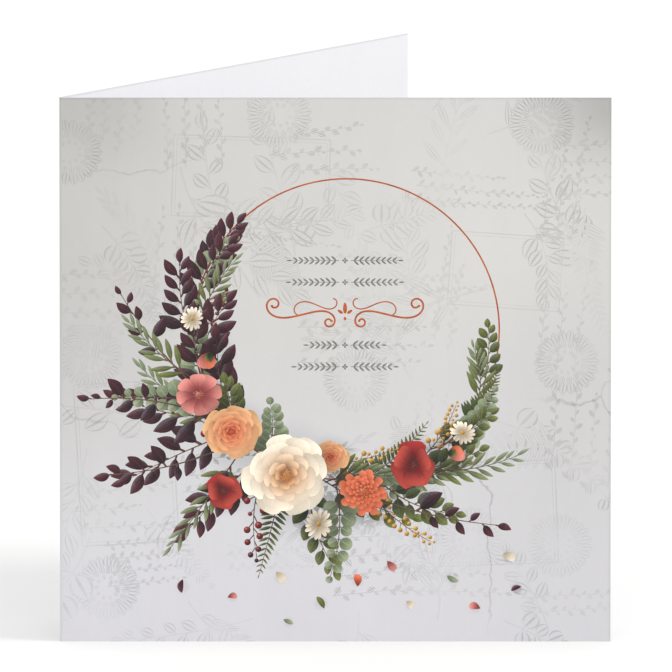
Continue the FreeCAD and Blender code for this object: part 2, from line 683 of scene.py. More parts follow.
# Runs one node tree with these settings, and adds the flat shapes that it makes to the drawing
def draw(kind, settings, colours, place, curve=None):
    tree = trees[kind]
    holder = bpy.data.objects.new(kind, curve or bpy.data.meshes.new(kind))
    bpy.context.scene.collection.objects.link(holder)
    work = holder.modifiers.new(kind, "NODES")
    work.node_group = tree
    values = dict(settings)
    tapers = (values.get("Base Taper", 0.5), values.get("Tip Taper", 0.5))
    if "Breadth" in values:
        values["Breadth"] /= peak(*tapers)
    inkNames = {item: values.pop(item) for item in ("Ink", "Leaf Ink", "Stem Ink") if item in values}
    for item in tree.interface.items_tree:
        if item.in_out == "INPUT" and item.name in values:
            work[item.identifier] = values[item.name]
        if item.in_out == "INPUT" and item.name in inkNames:
            work[item.identifier] = inks[inkNames[item.name]]
    mesh = bpy.data.meshes.new_from_object(holder.evaluated_get(bpy.context.evaluated_depsgraph_get()))
    holder.modifiers.remove(work)
    bpy.data.objects.remove(holder)
    mesh.transform(place)
    readShapes(mesh, colours, (*tapers, values.get("Bow", 0.0)))
    bpy.data.meshes.remove(mesh)


def readVertices(mesh, name, field, size):
    found = np.zeros(len(mesh.vertices) * size)
    if name in mesh.attributes:
        mesh.attributes[name].data.foreach_get(field, found)
    return found.reshape(-1, size) if size > 1 else found


def signedArea(outline):
    x, y = outline.T
    return 0.5 * float(np.sum(x * np.roll(y, -1) - y * np.roll(x, -1)))


plainLook = {"base": (np.zeros(3),), "tip": (np.zeros(3),), "lift": 0.0}


def readShapes(mesh, colours, form):
    places = readVertices(mesh, "position", "vector", 3)[:, :2]
    own = readVertices(mesh, "local", "vector", 3)[:, :2]
    rings = readVertices(mesh, "ring", "value", 1)
    tones = readVertices(mesh, "tone", "value", 1)
    for polygon in mesh.polygons:
        corners = list(polygon.vertices)
        ink = mesh.materials[polygon.material_index].name[:-3]
        look = {**plainLook, **colours[ink]}
        third = len(corners) // 3
        picked = [corners[0], corners[max(third, 1)], corners[max(2 * third, 2)]]
        toLocal = localMap(places[picked], own[picked])
        if toLocal is None:
            continue
        ring = rings[corners[0]]
        # The slopes of the two local coordinates give the shape's own directions on the sheet.
        lengthwise = Vector(toLocal[:2, 1]).normalized()
        sidewise = Vector(toLocal[:2, 0])
        sidewise = (sidewise - lengthwise * sidewise.dot(lengthwise)).normalized()
        outline = places[corners]
        if signedArea(outline) < 0:  # a mirrored leaf runs clockwise, and the cut needs the other way
            outline = outline[::-1]
        shapes.append({
            "ink": ink,
            "places": outline,
            "toLocal": toLocal,
            "base": look["base"][0] * (1 - ring) + look["base"][-1] * ring,
            "tip": look["tip"][0] * (1 - ring) + look["tip"][-1] * ring,
            "form": form if ink in ("petal", "leaf", "berry", "faint") and len(corners) > 4 else (0, 0, 0),
            "light": (sidewise.dot(lightFrom), lengthwise.dot(lightFrom), look["lift"]),
            "tone": tones[corners[0]],
        })


# Where a motif goes: its place in millimetres, its heading in degrees and its scale
def at(place, heading=0.0, scale=1.0, squash=1.0):
    turn = Matrix.Rotation(math.radians(heading), 4, "Z")
    return Matrix.Translation((*place, 0)) @ turn @ Matrix.Diagonal((scale, scale * squash, 1, 1))


# Lengths are shares of what casts the shadow: its shift away from the light, and where it fades
shadowShape = {
    "shift": 0.12,
    "full": 0.72,
    "gone": 1.45,
    "rounds": 4,
    "onGround": 0.35,  # the ground takes this share of a shadow's strength
}


def castShadow(place, radius, strength):
    offset = lightFrom * -shadowShape["shift"] * radius
    shadows.append({
        "centre": np.array(place) + np.array(offset),
        "radii": (radius * shadowShape["full"], radius * shadowShape["gone"]),
        "strength": strength,
        "after": len(shapes),
    })


# The garland's plants. Sizes are shares of a flower's own radius, or millimetres on a spray.

cream = (chart(246, 226, 196), chart(252, 240, 220))
apricot = (chart(210, 136, 86), chart(238, 188, 138))
amber = (chart(186, 116, 66), chart(214, 150, 96))
coral = (chart(202, 84, 54), chart(232, 126, 90))
rose = (chart(188, 90, 90), chart(228, 148, 138))
crimson = (chart(104, 24, 30), chart(164, 50, 46))
scarlet = (chart(140, 40, 40), chart(198, 80, 68))
gold = (chart(196, 142, 52), chart(228, 184, 92))
plum = (chart(34, 18, 26), chart(70, 42, 52))
wine = (chart(56, 24, 34), chart(96, 48, 56))
sage = (chart(112, 126, 96), chart(160, 170, 138))
olive = (chart(80, 87, 40), chart(128, 134, 74))
forest = (chart(44, 54, 32), chart(80, 94, 54))
bark = (chart(88, 66, 58), chart(120, 92, 78))


def fromTo(first, last):
    return {"base": (first[0], last[0]), "tip": (first[1], last[1])}


def petals(count, step, outer, inner, first, last, lift=0.4, **settings):
    layer = {"Petals": count, "Turn Step": step, "Outer Reach": outer, "Inner Reach": inner, "Ink": "petal"}
    return ("bloom", {**layer, **settings}, {"petal": {**fromTo(first, last), "lift": lift}})


def seeds(count, outer, inner, first, last, **settings):
    layer = {
        "Petals": count, "Turn Step": goldenTurn, "Outer Reach": outer, "Inner Reach": inner, "Root": 0.8,
        "Breadth": 0.1, "Outline Points": 8, "Jitter": 0.12, "Reach Curve": 0.7, "Ink": "berry",
    }
    return ("bloom", {**layer, **settings}, {"berry": fromTo(first, last)})


# A round heart under the petals, so that no ground shows between them
def heart(radius, colours):
    layer = {
        "Petals": 1, "Turn Step": 0.0, "Outer Reach": radius, "Inner Reach": radius, "Root": -1.0,
        "Breadth": 1.0, "Jitter": 0.0, "Ink": "berry",
    }
    return ("bloom", layer, {"berry": fromTo(colours, colours)})


flowers = {
    "camellia": [
        heart(0.55, amber),
        petals(13, goldenTurn, 1.0, 0.8, cream, cream, 0.25, Root=0.35, Breadth=0.34,
               **{"Base Taper": 0.8, "Tip Taper": 0.42, "Ruffle": 0.03, "Waves": 9.0}),
        petals(26, goldenTurn, 0.8, 0.22, cream, apricot, 0.6, Root=0.3, Breadth=0.4,
               **{"Base Taper": 0.7, "Tip Taper": 0.42, "Ruffle": 0.02, "Waves": 7.0, "Start Turn": 1.1}),
        seeds(26, 0.13, 0.02, gold, amber, Breadth=0.16),
    ],
    "rosette": [
        heart(0.5, coral),
        petals(38, goldenTurn, 1.0, 0.14, apricot, coral, 0.7, Root=0.3, Breadth=0.5,
               **{"Base Taper": 0.6, "Tip Taper": 0.34, "Ruffle": 0.02, "Reach Curve": 0.9}),
        seeds(12, 0.09, 0.01, coral, scarlet, Breadth=0.2),
    ],
    "zinnia": [
        heart(0.4, coral),
        petals(58, goldenTurn, 1.0, 0.24, coral, coral, 0.45, Root=0.4, Breadth=0.17,
               **{"Base Taper": 0.7, "Tip Taper": 0.35, "Outline Points": 14, "Reach Curve": 0.8}),
        seeds(40, 0.24, 0.02, gold, scarlet, Breadth=0.14),
    ],
    "cosmos": [
        heart(0.3, rose),
        petals(8, fullTurn / 8, 1.0, 0.97, rose, rose, 0.15, Root=0.1, Breadth=0.34,
               **{"Base Taper": 0.85, "Tip Taper": 0.28, "Ruffle": 0.05, "Waves": 11.0,
                  "Outline Points": 28}),
        seeds(46, 0.24, 0.03, gold, bark),
    ],
    "poppy": [
        heart(0.5, scarlet),
        petals(3, fullTurn / 3, 1.0, 1.0, crimson, scarlet, 0.25, Root=0.0, Breadth=0.64,
               **{"Base Taper": 0.6, "Tip Taper": 0.3, "Ruffle": 0.05, "Waves": 11.0,
                  "Outline Points": 34}),
        petals(3, fullTurn / 3, 0.88, 0.84, scarlet, scarlet, 0.6, Root=0.0, Breadth=0.6,
               **{"Base Taper": 0.6, "Tip Taper": 0.3, "Ruffle": 0.05, "Waves": 9.0, "Outline Points": 34,
                  "Start Turn": 0.95}),
        seeds(70, 0.34, 0.04, plum, plum, Breadth=0.12),
        seeds(16, 0.13, 0.02, olive, sage, Breadth=0.2),
    ],
    "daisy": [
        heart(0.3, gold),
        petals(15, fullTurn / 15, 1.0, 0.95, cream, cream, 0.1, Root=0.15, Breadth=0.15,
               **{"Base Taper": 0.6, "Tip Taper": 0.4, "Outline Points": 14}),
        seeds(40, 0.3, 0.03, gold, bark),
    ],
    "bud": [
        petals(5, 0.2, 1.0, 0.8, rose, coral, 0.6, Root=0.0, Breadth=0.3,
               **{"Base Taper": 0.6, "Tip Taper": 0.5, "Start Turn": -0.4, "Jitter": 0.02}),
        petals(3, 0.34, 0.5, 0.5, olive, forest, 0.3, Root=-0.1, Breadth=0.32,
               **{"Base Taper": 0.6, "Tip Taper": 0.8, "Start Turn": -0.34, "Jitter": 0.02}),
    ],
}

leafSprays = {
    "lance": ({"Leaves": 11, "Leaf Length": 9.0, "Tip Length": 6.0, "Breadth": 0.2, "Base Taper": 0.8,
               "Tip Taper": 0.95, "Bow": 0.08, "Leaf Angle": 0.85, "Tip Angle": 0.5}, plum, wine),
    "oval": ({"Leaves": 11, "Leaf Length": 6.5, "Tip Length": 4.0, "Breadth": 0.27, "Base Taper": 0.7,
              "Tip Taper": 0.8, "Bow": 0.05, "Leaf Angle": 0.9, "Tip Angle": 0.6}, forest, olive),
    "round": ({"Leaves": 13, "Leaf Length": 5.2, "Tip Length": 2.4, "Breadth": 0.42, "Base Taper": 0.5,
               "Tip Taper": 0.5, "Leaf Angle": 1.15, "Tip Angle": 0.8, "Paired": 1.0}, sage, sage),
    "willow": ({"Leaves": 15, "Leaf Length": 7.5, "Tip Length": 4.0, "Breadth": 0.11, "Base Taper": 0.7,
                "Tip Taper": 0.8, "Bow": 0.06, "Leaf Angle": 0.7, "Tip Angle": 0.35}, olive, sage),
    "fern": ({"Leaves": 35, "Leaf Length": 5.5, "Tip Length": 1.2, "Breadth": 0.13, "Base Taper": 0.6,
              "Tip Taper": 0.9, "Leaf Angle": 1.2, "Tip Angle": 0.8, "Paired": 1.0, "Stalk": 0.02,
              "First Leaf": 0.12, "Outline Points": 12, "Jitter": 0.06}, forest, olive),
    "twig": ({"Leaves": 7, "Leaf Length": 6.5, "Tip Length": 4.0, "Breadth": 0.23, "Base Taper": 0.7,
              "Tip Taper": 0.95, "Bow": 0.08, "Leaf Angle": 1.0, "Tip Angle": 0.5, "First Leaf": 0.5,
              "Stem Width": 0.55, "Jitter": 0.35}, plum, wine),
}

berrySprays = {
    "berries": ({"Leaves": 11, "Leaf Length": 3.6, "Tip Length": 2.6}, scarlet, wine),
    "mimosa": ({"Leaves": 21, "Leaf Length": 2.9, "Tip Length": 1.6}, gold, gold),
}
berryShape = {
    "Stalk": 0.5, "Breadth": 0.25, "Base Taper": 0.5, "Tip Taper": 0.5, "Outline Points": 14,
    "Leaf Angle": 0.9, "Tip Angle": 0.5, "Jitter": 0.3, "First Leaf": 0.3, "Leaf Ink": "berry",
}


def drawFlower(kind, place, radius, heading=0.0, squash=1.0, seed=0, shadow=0.5):
    if shadow:
        castShadow(place, radius, shadow)
    for name, settings, colours in flowers[kind]:
        draw(name, {**settings, "Seed": seed}, colours, at(place, heading, radius, squash))


def drawSpray(kind, place, heading, length, curl=0.3, size=1.0, seed=0):
    berry = kind in berrySprays
    settings, first, last = (berrySprays if berry else leafSprays)[kind]
    shape = dict(berryShape) if berry else {"Leaf Ink": "leaf"}
    shape.update(settings)
    shape.update({"Length": length / size, "Curl": curl, "Seed": seed, "Stem Ink": "stem"})
    colours = {shape["Leaf Ink"]: fromTo(first, last), "stem": fromTo(bark, last)}
    draw("spray", shape, colours, at(place, heading, size))


def curveThrough(places, closed=False):
    curve = bpy.data.curves.new("stroke", "CURVE")
    spline = curve.splines.new("POLY")
    spline.points.add(len(places) - 1)
    for point, (x, y) in zip(spline.points, places):
        point.co = (x, y, 0, 1)
    spline.use_cyclic_u = closed
    return curve


def drawStroke(places, width, steps, look, ink="pen", closed=False):
    settings = {"Steps": steps, "Width": width, "Ink": ink}
    draw("stroke", settings, {ink: look}, Matrix(), curveThrough(places, closed))


# The faded engraving behind everything: sprays, ferns, seed rings, rows of vine and plain frames

engraving = {
    "columns": 7,
    "rows": 7,
    "blocks": 5,
    "darkness": 0.28,
    "borderDarkness": 0.5,
    "seed": 5,
    "rings": ((9.0, 22), (6.2, 16), (3.6, 10)),  # the reach of each round of seeds and their number
    # Each frame's corner, heading, width and height, then each of its lines: how far in, and how wide
    "frames": ((6, 26, 3, 26, 44), (104, 92, -4, 30, 20), (88, 20, 2, 46, 28), (30, 116, -2, 42, 22)),
    "frameLines": ((0.0, 0.3), (0.9, 0.14)),
}
panelWidth = (high.x - low.x) / millimetre
panelHeight = (high.z - low.z) / millimetre
foldWidth = (card["boardThickness"] + card["foldRadiusInside"]) / millimetre


def drawEngraving():
    pick = random.Random(engraving["seed"])
    columns, rows = engraving["columns"], engraving["rows"]
    for cell in range(columns * rows):
        x = (cell % columns + pick.uniform(0.1, 0.9)) / columns * panelWidth
        y = (cell // columns + pick.uniform(0.1, 0.9)) / rows * panelHeight
        heading = pick.uniform(0, 360)
        look = {"faint": {"lift": engraving["darkness"] * pick.uniform(0.5, 1.1)}}
        kind = pick.choice(("oval", "willow", "fern", "round", "lance", "ring"))
        if kind == "ring":
            for reach, count in engraving["rings"]:
                ring = {
                    "Petals": count, "Turn Step": fullTurn / count, "Outer Reach": reach,
                    "Inner Reach": reach, "Root": 0.62, "Breadth": 0.12, "Base Taper": 0.5,
                    "Tip Taper": 0.6, "Jitter": 0.0, "Outline Points": 12, "Ink": "faint",
                }
                draw("bloom", ring, look, at((x, y), heading))
            continue
        settings = dict(leafSprays[kind][0])
        settings.update({
            "Length": pick.uniform(22, 40), "Curl": pick.uniform(-0.6, 0.6), "Seed": cell,
            "Stem Width": 0.35, "Leaf Ink": "faint", "Stem Ink": "faint", "Outline Points": 14,
        })
        draw("spray", settings, look, at((x, y), heading, pick.uniform(0.9, 1.5)))


# Each block holds a few rows of one small running vine.
def drawBorders():
    pick = random.Random(engraving["seed"] + 1)
    blocks = engraving["blocks"]
    for cell in range(blocks * blocks):
        x = (cell % blocks + pick.uniform(-0.2, 0.5)) / blocks * panelWidth
        y = (cell // blocks + pick.uniform(0.3, 1.0)) / blocks * panelHeight
        corner = at((x, y), pick.choice((0, 0, -7, 5, 90, 84)))
        look = {"faint": {"lift": engraving["borderDarkness"] * pick.uniform(0.6, 1.1)}}
        leaf = pick.uniform(1.9, 2.8)
        longest = pick.uniform(22, 38)
        vine = {
            "Leaf Length": leaf, "Tip Length": leaf * 0.7, "Breadth": pick.uniform(0.18, 0.27),
            "Base Taper": 0.6, "Tip Taper": 0.9, "Leaf Angle": pick.uniform(0.5, 0.9), "Tip Angle": 0.5,
            "First Leaf": 0.02, "Stem Width": 0.2, "Outline Points": 8, "Jitter": 0.3,
            "Leaf Ink": "faint", "Stem Ink": "faint",
        }
        for row in range(pick.randint(2, 4)):
            length = longest * pick.uniform(0.6, 1.0)
            curl = pick.uniform(-0.06, 0.06)
            vine.update({"Length": length, "Leaves": int(length / leaf * 1.5), "Curl": curl})
            offset = Matrix.Translation((pick.uniform(0, 5), -row * leaf * 1.9, 0))
            draw("spray", {**vine, "Seed": cell + row}, look, corner @ offset)


# Plain double frames, each a wide and a fine line
def drawFrames():
    look = {"lift": engraving["borderDarkness"] * 0.8}
    for x, y, heading, width, height in engraving["frames"]:
        turned = at((x, y), heading)
        for inset, line in engraving["frameLines"]:
            right, top = width - inset, height - inset
            corners = ((inset, inset), (right, inset), (right, top), (inset, top))
            places = [tuple((turned @ Vector((*corner, 0)))[:2]) for corner in corners]
            drawStroke(places, line, 200, look, "faint", closed=True)


# The garland: a fine copper hoop, with plants along its lower left

hoop = {
    "centre": Vector((77.0, 85.0)),
    "radius": 41.0,
    "width": 0.42,
}
copper = (chart(168, 76, 38), chart(198, 106, 62))


def onHoop(angle, outward=0.0):
    turn = math.radians(angle)
    return hoop["centre"] + Vector((math.cos(turn), math.sin(turn))) * (hoop["radius"] + outward)


def drawHoop():
    ring = [onHoop(angle) for angle in range(0, 360, 3)]
    drawStroke(ring, hoop["width"], 121, fromTo(copper, copper), closed=True)


garland = {
    "seed": 11,
    # Each limb: where it starts and ends on the hoop, its way round, and its sprays in turn
    "limbs": (
        (232, 158, -1, ("lance", "round", "lance", "willow", "lance", "berries")),
        (250, 336, 1, ("oval", "willow", "fern", "round", "oval", "mimosa")),
    ),
    "limbSprays": 12,
    # Sprays that fan outwards from behind the flowers: kind, angle on the hoop, heading and length
    "fans": (
        ("lance", 222, 205, 30), ("lance", 236, 224, 27), ("willow", 229, 238, 33), ("fern", 247, 252, 29),
        ("oval", 256, 268, 25), ("round", 266, 286, 25), ("mimosa", 276, 300, 24), ("lance", 214, 186, 26),
        ("berries", 240, 240, 25), ("oval", 282, 318, 22), ("round", 208, 168, 24), ("willow", 262, 24, 17),
        ("round", 238, 66, 15), ("oval", 224, 92, 14), ("twig", 216, 158, 35), ("twig", 205, 138, 35),
        ("twig", 268, 338, 43), ("twig", 226, 212, 35), ("willow", 296, 350, 27), ("willow", 200, 148, 24),
    ),
    # Flowers, the lowest first: kind, angle on the hoop, how far outside it, radius and squash
    "blooms": (
        ("daisy", 318, 1.0, 3.6, 0.9), ("daisy", 176, 0.5, 3.4, 0.9), ("bud", 190, -4.0, 5.0, 1.0),
        ("cosmos", 204, 2.5, 6.4, 0.9), ("poppy", 296, 0.0, 6.4, 0.88), ("zinnia", 276, 3.5, 7.4, 0.96),
        ("rosette", 222, 0.5, 8.2, 0.97), ("daisy", 262, 12.5, 4.4, 0.85), ("poppy", 233, 14.0, 5.0, 0.9),
        ("rosette", 263, -6.0, 5.2, 0.9), ("camellia", 248, 2.0, 12.2, 0.97), ("bud", 309, 2.5, 4.6, 1.0),
    ),
    "fallen": (
        (33, 17, "leaf", wine), (45, 12, "petal", rose), (58, 19, "petal", cream), (71, 9, "leaf", olive),
        (80, 15, "petal", coral), (93, 11, "petal", cream), (104, 18, "leaf", sage), (113, 9, "petal", rose),
        (124, 15, "leaf", wine), (60, 6, "leaf", sage), (88, 22, "petal", rose), (119, 24, "petal", cream),
    ),
}


def drawGarland():
    pick = random.Random(garland["seed"])
    # Both limbs follow the hoop away from the flowers, with shorter sprays towards their ends.
    for start, end, way, kinds in garland["limbs"]:
        for step in range(garland["limbSprays"]):
            share = step / (garland["limbSprays"] - 1)
            angle = end + (start - end) * share
            kind = kinds[step % len(kinds)]
            veer = pick.uniform(-32, 32) * (0.35 + 0.65 * share)
            length = 15 + 12 * share + pick.uniform(-2, 2)
            heading = angle + 90 * way + veer
            curl = 0.27 * way + pick.uniform(-0.12, 0.12)
            root = onHoop(angle, pick.uniform(-1.5, 1.5))
            drawSpray(kind, root, heading, length, curl, 0.8 + 0.25 * share, step)
    for count, (kind, angle, heading, length) in enumerate(garland["fans"]):
        heading += pick.uniform(-5, 5)
        drawSpray(kind, onHoop(angle, 1), heading, length, pick.uniform(-0.4, 0.4), 1.0, 40 + count)
    for count, (kind, angle, outward, radius, squash) in enumerate(garland["blooms"]):
        heading = pick.uniform(0, 360) if kind != "bud" else angle + 60
        drawFlower(kind, onHoop(angle, outward), radius, heading, squash, 80 + count)


# Petals and small leaves that have dropped below the garland
def drawFallen():
    pick = random.Random(garland["seed"] + 4)
    for x, y, ink, colours in garland["fallen"]:
        leaf = ink == "leaf"
        length = pick.uniform(2.4, 3.8)
        shape = {
            "Petals": 1, "Outer Reach": length, "Inner Reach": length, "Root": 0.0, "Jitter": 0.0,
            "Breadth": 0.22 if leaf else 0.33, "Base Taper": 0.9, "Tip Taper": 0.8 if leaf else 0.45,
            "Bow": pick.uniform(-0.2, 0.2), "Ink": ink, "Seed": int(x),
        }
        place = at((x, y), pick.uniform(0, 360))
        castShadow((place @ Vector((length * 0.5, 0, 0)))[:2], length * 0.42, 0.3)
        draw("bloom", shape, {ink: {**fromTo(colours, colours), "lift": 0.3}}, place)


# The middle of the hoop: laurel rules in grey above and below one copper flourish

message = {
    "centre": 76.6,
    "rules": ((103.8, 28.4), (97.9, 28.9), (80.8, 19.5), (74.9, 26.0)),  # each one's height and width
    "gap": 1.6,
    "leaf": 1.9,
    "leafStep": 0.85,
    # Each scroll: the middle's place, its heading, then length, winding and growth of each end, and width
    "flourish": {
        "height": 89.0,
        "scrolls": (
            ((10.6, 0.3), -14, (16.0, 7.6, 1.7), (20.0, 7.4, 1.9), 0.52),
            ((6.9, 2.4), 24, (7.4, -3.4, 1.2), (10.75, -3.8, 1.4), 0.34),
        ),
        # Each drop of the bud: its heading, its root as a share of its length, its length and breadth
        "bud": ((90, 0.1, 3.4, 1.1), (35, 0.3, 2.4, 0.8), (145, 0.3, 2.4, 0.8), (270, 0.35, 1.5, 0.8)),
    },
}
slate = (chart(118, 116, 113), chart(132, 130, 127))


def drawRules():
    colours = {"pen": fromTo(slate, slate)}
    centre, gap, leaf = message["centre"], message["gap"], message["leaf"]
    for height, width in message["rules"]:
        sprig = {
            "Length": width / 2 - gap, "Curl": 0.0, "Leaves": int(width / 2 / message["leafStep"]) | 1,
            "Leaf Length": leaf, "Tip Length": leaf * 0.8, "Breadth": 0.14, "Base Taper": 0.7,
            "Tip Taper": 0.8, "Leaf Angle": 0.75, "Tip Angle": 0.6, "Paired": 1.0, "Stalk": 0.0,
            "Stem Width": 0.18, "First Leaf": 0.06, "Jitter": 0.0, "Outline Points": 12,
            "Leaf Ink": "pen", "Stem Ink": "pen",
        }
        for way in (-1, 1):
            place = at((centre + way * gap, height))
            draw("spray", sprig, colours, place @ Matrix.Diagonal((way, 1, 1, 1)))
        mark = {
            "Petals": 4, "Turn Step": fullTurn / 4, "Outer Reach": 0.8, "Inner Reach": 0.8, "Root": 0.12,
            "Breadth": 0.3, "Jitter": 0.0, "Outline Points": 12, "Ink": "pen",
        }
        draw("bloom", mark, colours, at((centre, height)))


# Half a scroll, from its middle out: it winds up evenly, by so many radians in all
def scrollEnd(place, heading, length, winding, growth, steps=60):
    x, y = place
    step = length / steps
    places = [(x, y)]
    for count in range(steps):
        heading += winding * (growth + 1) * ((count + 0.5) / steps) ** growth / steps
        x, y = x + math.cos(heading) * step, y + math.sin(heading) * step
        places.append((x, y))
    return places


def drawFlourish():
    shape = message["flourish"]
    colours = fromTo(copper, copper)
    middle = (message["centre"], shape["height"])
    for way in (-1, 1):
        for place, heading, inner, outer, width in shape["scrolls"]:
            turn = math.radians(heading)
            line = scrollEnd(place, turn + math.pi, *inner)[:0:-1] + scrollEnd(place, turn, *outer)
            places = [(middle[0] + way * x, middle[1] + y) for x, y in line]
            drawStroke(places, width, 100, colours)
            for end in (places[0], places[-1]):
                drawDrop(end, 0.0, -0.5, width, width * 1.1, colours)
    for heading, root, length, breadth in shape["bud"]:
        drawDrop(middle, heading, root, length, breadth, colours)


# A drop from root to length along its heading, both in shares of that length from the place
def drawDrop(place, heading, root, length, breadth, colours):
    drop = {
        "Petals": 1, "Outer Reach": length, "Inner Reach": length, "Root": root, "Jitter": 0.0,
        "Breadth": breadth / length / 2, "Base Taper": 0.5, "Tip Taper": 0.6, "Outline Points": 16,
        "Ink": "pen",
    }
    draw("bloom", drop, {"pen": colours}, at(place, heading))


drawEngraving()
drawBorders()
drawFrames()
drawHoop()
drawGarland()
drawFallen()
drawRules()
drawFlourish()
print("print drawn:", len(shapes), "shapes")


# One layer of triangles

tolerance = 1e-4


def ringPlaces(centre, radius, count=24):
    turns = [fullTurn * step / count for step in range(count)]
    return [(centre[0] + radius * math.cos(t), centre[1] + radius * math.sin(t)) for t in turns]


# Cuts the drawing into triangles that each lie in one shape, the topmost there. Shape 0 is the sheet.
def flatten():
    sheet = [(foldWidth, 0), (panelWidth, 0), (panelWidth, panelHeight), (foldWidth, panelHeight)]
    points, faces = [Vector(place) for place in sheet], [[0, 1, 2, 3]]
    for shape in shapes:
        faces.append(list(range(len(points), len(points) + len(shape["places"]))))
        points.extend(Vector(place) for place in shape["places"])
    places, _, triangles, _, _, above = delaunay_2d_cdt(points, [], faces, 0, tolerance, True)
    owners = np.array([max(ids) if 0 in ids else -1 for ids in above])
    print("first cut:", len(triangles), "triangles")
    # Only the lines where one shape meets another are kept, and the sheet is cut along those again.
    corners = np.array(triangles)
    edges = np.sort(np.concatenate([corners[:, [0, 1]], corners[:, [1, 2]], corners[:, [2, 0]]]), axis=1)
    besides = np.tile(owners, 3)
    order = np.lexsort((edges[:, 1], edges[:, 0]))
    edges, besides = edges[order], besides[order]
    same = (edges[1:] == edges[:-1]).all(1)
    first = np.flatnonzero(same)
    borders = edges[first[besides[first] != besides[first + 1]]]
    alone = np.ones(len(edges), bool)
    alone[first] = alone[first + 1] = False
    borders = np.concatenate([borders, edges[alone & (besides >= 0)]])
    used, lines = np.unique(borders, return_inverse=True)
    kept = [places[index] for index in used]
    lines = lines.reshape(-1, 2).tolist()
    for shadow in shadows:
        for radius in np.linspace(*shadow["radii"], shadowShape["rounds"]):
            ring = [Vector(place) for place in ringPlaces(shadow["centre"], radius)]
            start, count = len(kept), len(ring)
            kept.extend(ring)
            lines.extend([start + step, start + (step + 1) % count] for step in range(count))
    spots, _, cuts, _, _, _ = delaunay_2d_cdt(kept, lines, [], 0, tolerance, True)
    search = BVHTree.FromPolygons([(p.x, p.y, 0) for p in places], triangles)
    result = []
    for cut in cuts:
        middle = sum((spots[corner] for corner in cut), Vector((0, 0))) / 3
        found = search.ray_cast(Vector((middle.x, middle.y, 1)), Vector((0, 0, -1)))[2]
        owner = owners[found] if found is not None else -1
        if owner >= 0:
            result.append((*cut, owner))
    result = np.array(result)
    print("second cut:", len(result), "triangles")
    return np.array([(p.x, p.y) for p in spots]), result[:, :3], result[:, 3]


spots, cuts, owners = flatten()


# The card: one closed sheet with the print as its front face

# Seen from above, the sheet's outer and inner lines from the front panel's free edge round the fold
# to the back panel's free edge
def cardSection():
    thickness, inside = card["boardThickness"], card["foldRadiusInside"]
    outside = inside + thickness
    opening = card["openingAngle"]
    axisX, axisY = low.x + outside, low.y + outside
    sweep = math.pi - opening

    def around(radius, share):
        turn = math.pi / 2 + sweep * share
        return (axisX + radius * math.cos(turn), axisY - radius * math.sin(turn))

    def freeEnd(radius):
        run = high.x - axisX
        x = axisX + run * math.cos(opening) - radius * math.sin(opening)
        return (x, axisY + run * math.sin(opening) + radius * math.cos(opening))

    steps = card["foldSteps"]
    outer = [(high.x, low.y), (axisX, low.y)]
    outer += [around(outside, step / steps) for step in range(1, steps + 1)]
    outer.append(freeEnd(outside))
    # Where the bead's circle meets the inner arc: as a turn about the fold's axis, then about its own
    bead = card["beadRadius"]
    root = inside + bead - card["beadHeight"]
    meets = math.acos((root ** 2 + inside ** 2 - bead ** 2) / (2 * root * inside)) / sweep
    reach = math.acos((root ** 2 + bead ** 2 - inside ** 2) / (2 * root * bead))
    beadX, beadY = around(root, 0.5)
    half = steps // 2
    plain = [around(inside, (0.5 - meets) * step / half) for step in range(1, half + 1)]
    mirrored = [around(inside, 1 - (0.5 - meets) * step / half) for step in range(half, -1, -1)]
    bumps = []
    for step in range(1, card["beadSteps"]):
        turn = opening / 2 + reach * (2 * step / card["beadSteps"] - 1)
        bumps.append((beadX + bead * math.cos(turn), beadY + bead * math.sin(turn)))
    inner = [(high.x, low.y + thickness), (axisX, low.y + thickness)]
    inner += plain + bumps + mirrored + [freeEnd(inside)]
    return outer, inner


# Where each face lies on the bake's page: left, bottom, width and height. The print gets the most.
pages = {
    "print": (0.004, 0.004, 0.742, 0.992),
    "insideFront": (0.752, 0.004, 0.244, 0.28),
    "insideBack": (0.752, 0.29, 0.244, 0.28),
    "outsideBack": (0.752, 0.576, 0.244, 0.28),
    "fold": (0.752, 0.862, 0.1, 0.134),
    "crease": (0.858, 0.862, 0.06, 0.134),
    "frontEdge": (0.924, 0.862, 0.015, 0.134),
    "backEdge": (0.944, 0.862, 0.015, 0.134),
    "top": (0.964, 0.862, 0.014, 0.134),
    "bottom": (0.982, 0.862, 0.014, 0.134),
}


# Gathers the faces, and joins corners that lie within a tenth of a micrometre
class Shell:
    def __init__(self):
        self.found, self.vertices, self.faces = {}, [], []
        self.finishes, self.pages, self.owners = [], [], []

    def vertex(self, x, y, z):
        key = tuple(round(value * 1e7) for value in (x, y, z))
        if key not in self.found:
            self.found[key] = len(self.vertices)
            self.vertices.append((x, y, z))
        return self.found[key]

    # Each corner is a place and how far across and up its page it lies.
    def add(self, corners, finish, page, owner=0):
        numbers = [self.vertex(*place) for place, _, _ in corners]
        if len(set(numbers)) < 3:
            return
        left, bottom, width, height = pages[page]
        self.faces.append(numbers)
        self.finishes.append(finish)
        self.pages.append([(left + width * across, bottom + height * up) for _, across, up in corners])
        self.owners.append(owner)

    # An upright strip between two places in plan, the first on the right as seen from outside. Either
    # side can have corners at more heights than the two ends.
    def strip(self, right, left, finish, page, acrosses, rightHeights=None, leftHeights=None):
        ends = [0.0, high.z]
        corners = [((*right, z), acrosses[0], z / high.z) for z in rightHeights or ends]
        corners += [((*left, z), acrosses[1], z / high.z) for z in reversed(leftHeights or ends)]
        self.add(corners, finish, page)


# Each place of a line with how far across its page it lies, and how far along the line
def measured(line, across):
    reached = np.cumsum([0.0] + [math.dist(a, b) for a, b in zip(line, line[1:])])
    return [(place, across, far / reached[-1]) for place, far in zip(line, reached)]


